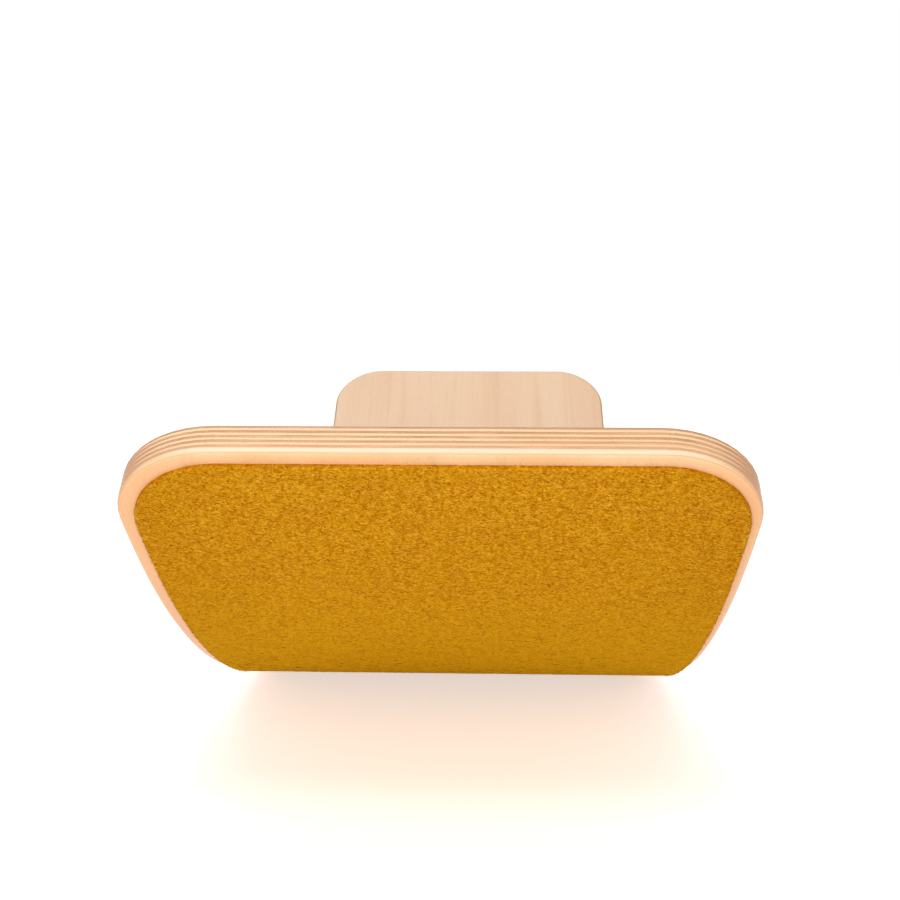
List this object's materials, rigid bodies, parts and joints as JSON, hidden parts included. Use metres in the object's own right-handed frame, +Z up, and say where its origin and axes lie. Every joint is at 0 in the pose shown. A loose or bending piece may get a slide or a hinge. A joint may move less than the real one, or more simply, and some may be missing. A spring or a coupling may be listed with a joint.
{
  "type": "curved balance board",
  "caption": "Bent laminated wooden board with rounded corners and a felt sole, which rocks on its convex side under someone standing or sitting in it.",
  "frame": {"origin": "on the floor, under the middle of the board, where the felt meets it", "axes": "+X along the board, +Y across it, +Z up with both ends turned up"},
  "size_m": [0.898, 0.3, 0.2101],
  "materials": {
    "face_veneer": "clear satin lacquer on beech, grain along the board",
    "long_grain_veneer": "clear satin lacquer on beech edges, grain along the board",
    "cross_grain_veneer": "clear satin lacquer on beech edges, grain across the board",
    "felt": "matt pressed wool felt, ochre melange"
  },
  "bodies": {
    "root": {"convex_face_veneer": "face_veneer", "cross_veneer_1": "cross_grain_veneer", "long_veneer_1": "long_grain_veneer", "cross_veneer_2": "cross_grain_veneer", "long_veneer_2": "long_grain_veneer", "cross_veneer_3": "cross_grain_veneer", "long_veneer_3": "long_grain_veneer", "cross_veneer_4": "cross_grain_veneer", "long_veneer_4": "long_grain_veneer", "cross_veneer_5": "cross_grain_veneer", "concave_face_veneer": "face_veneer", "felt_sole": "felt"}
  },
  "joints": []
}
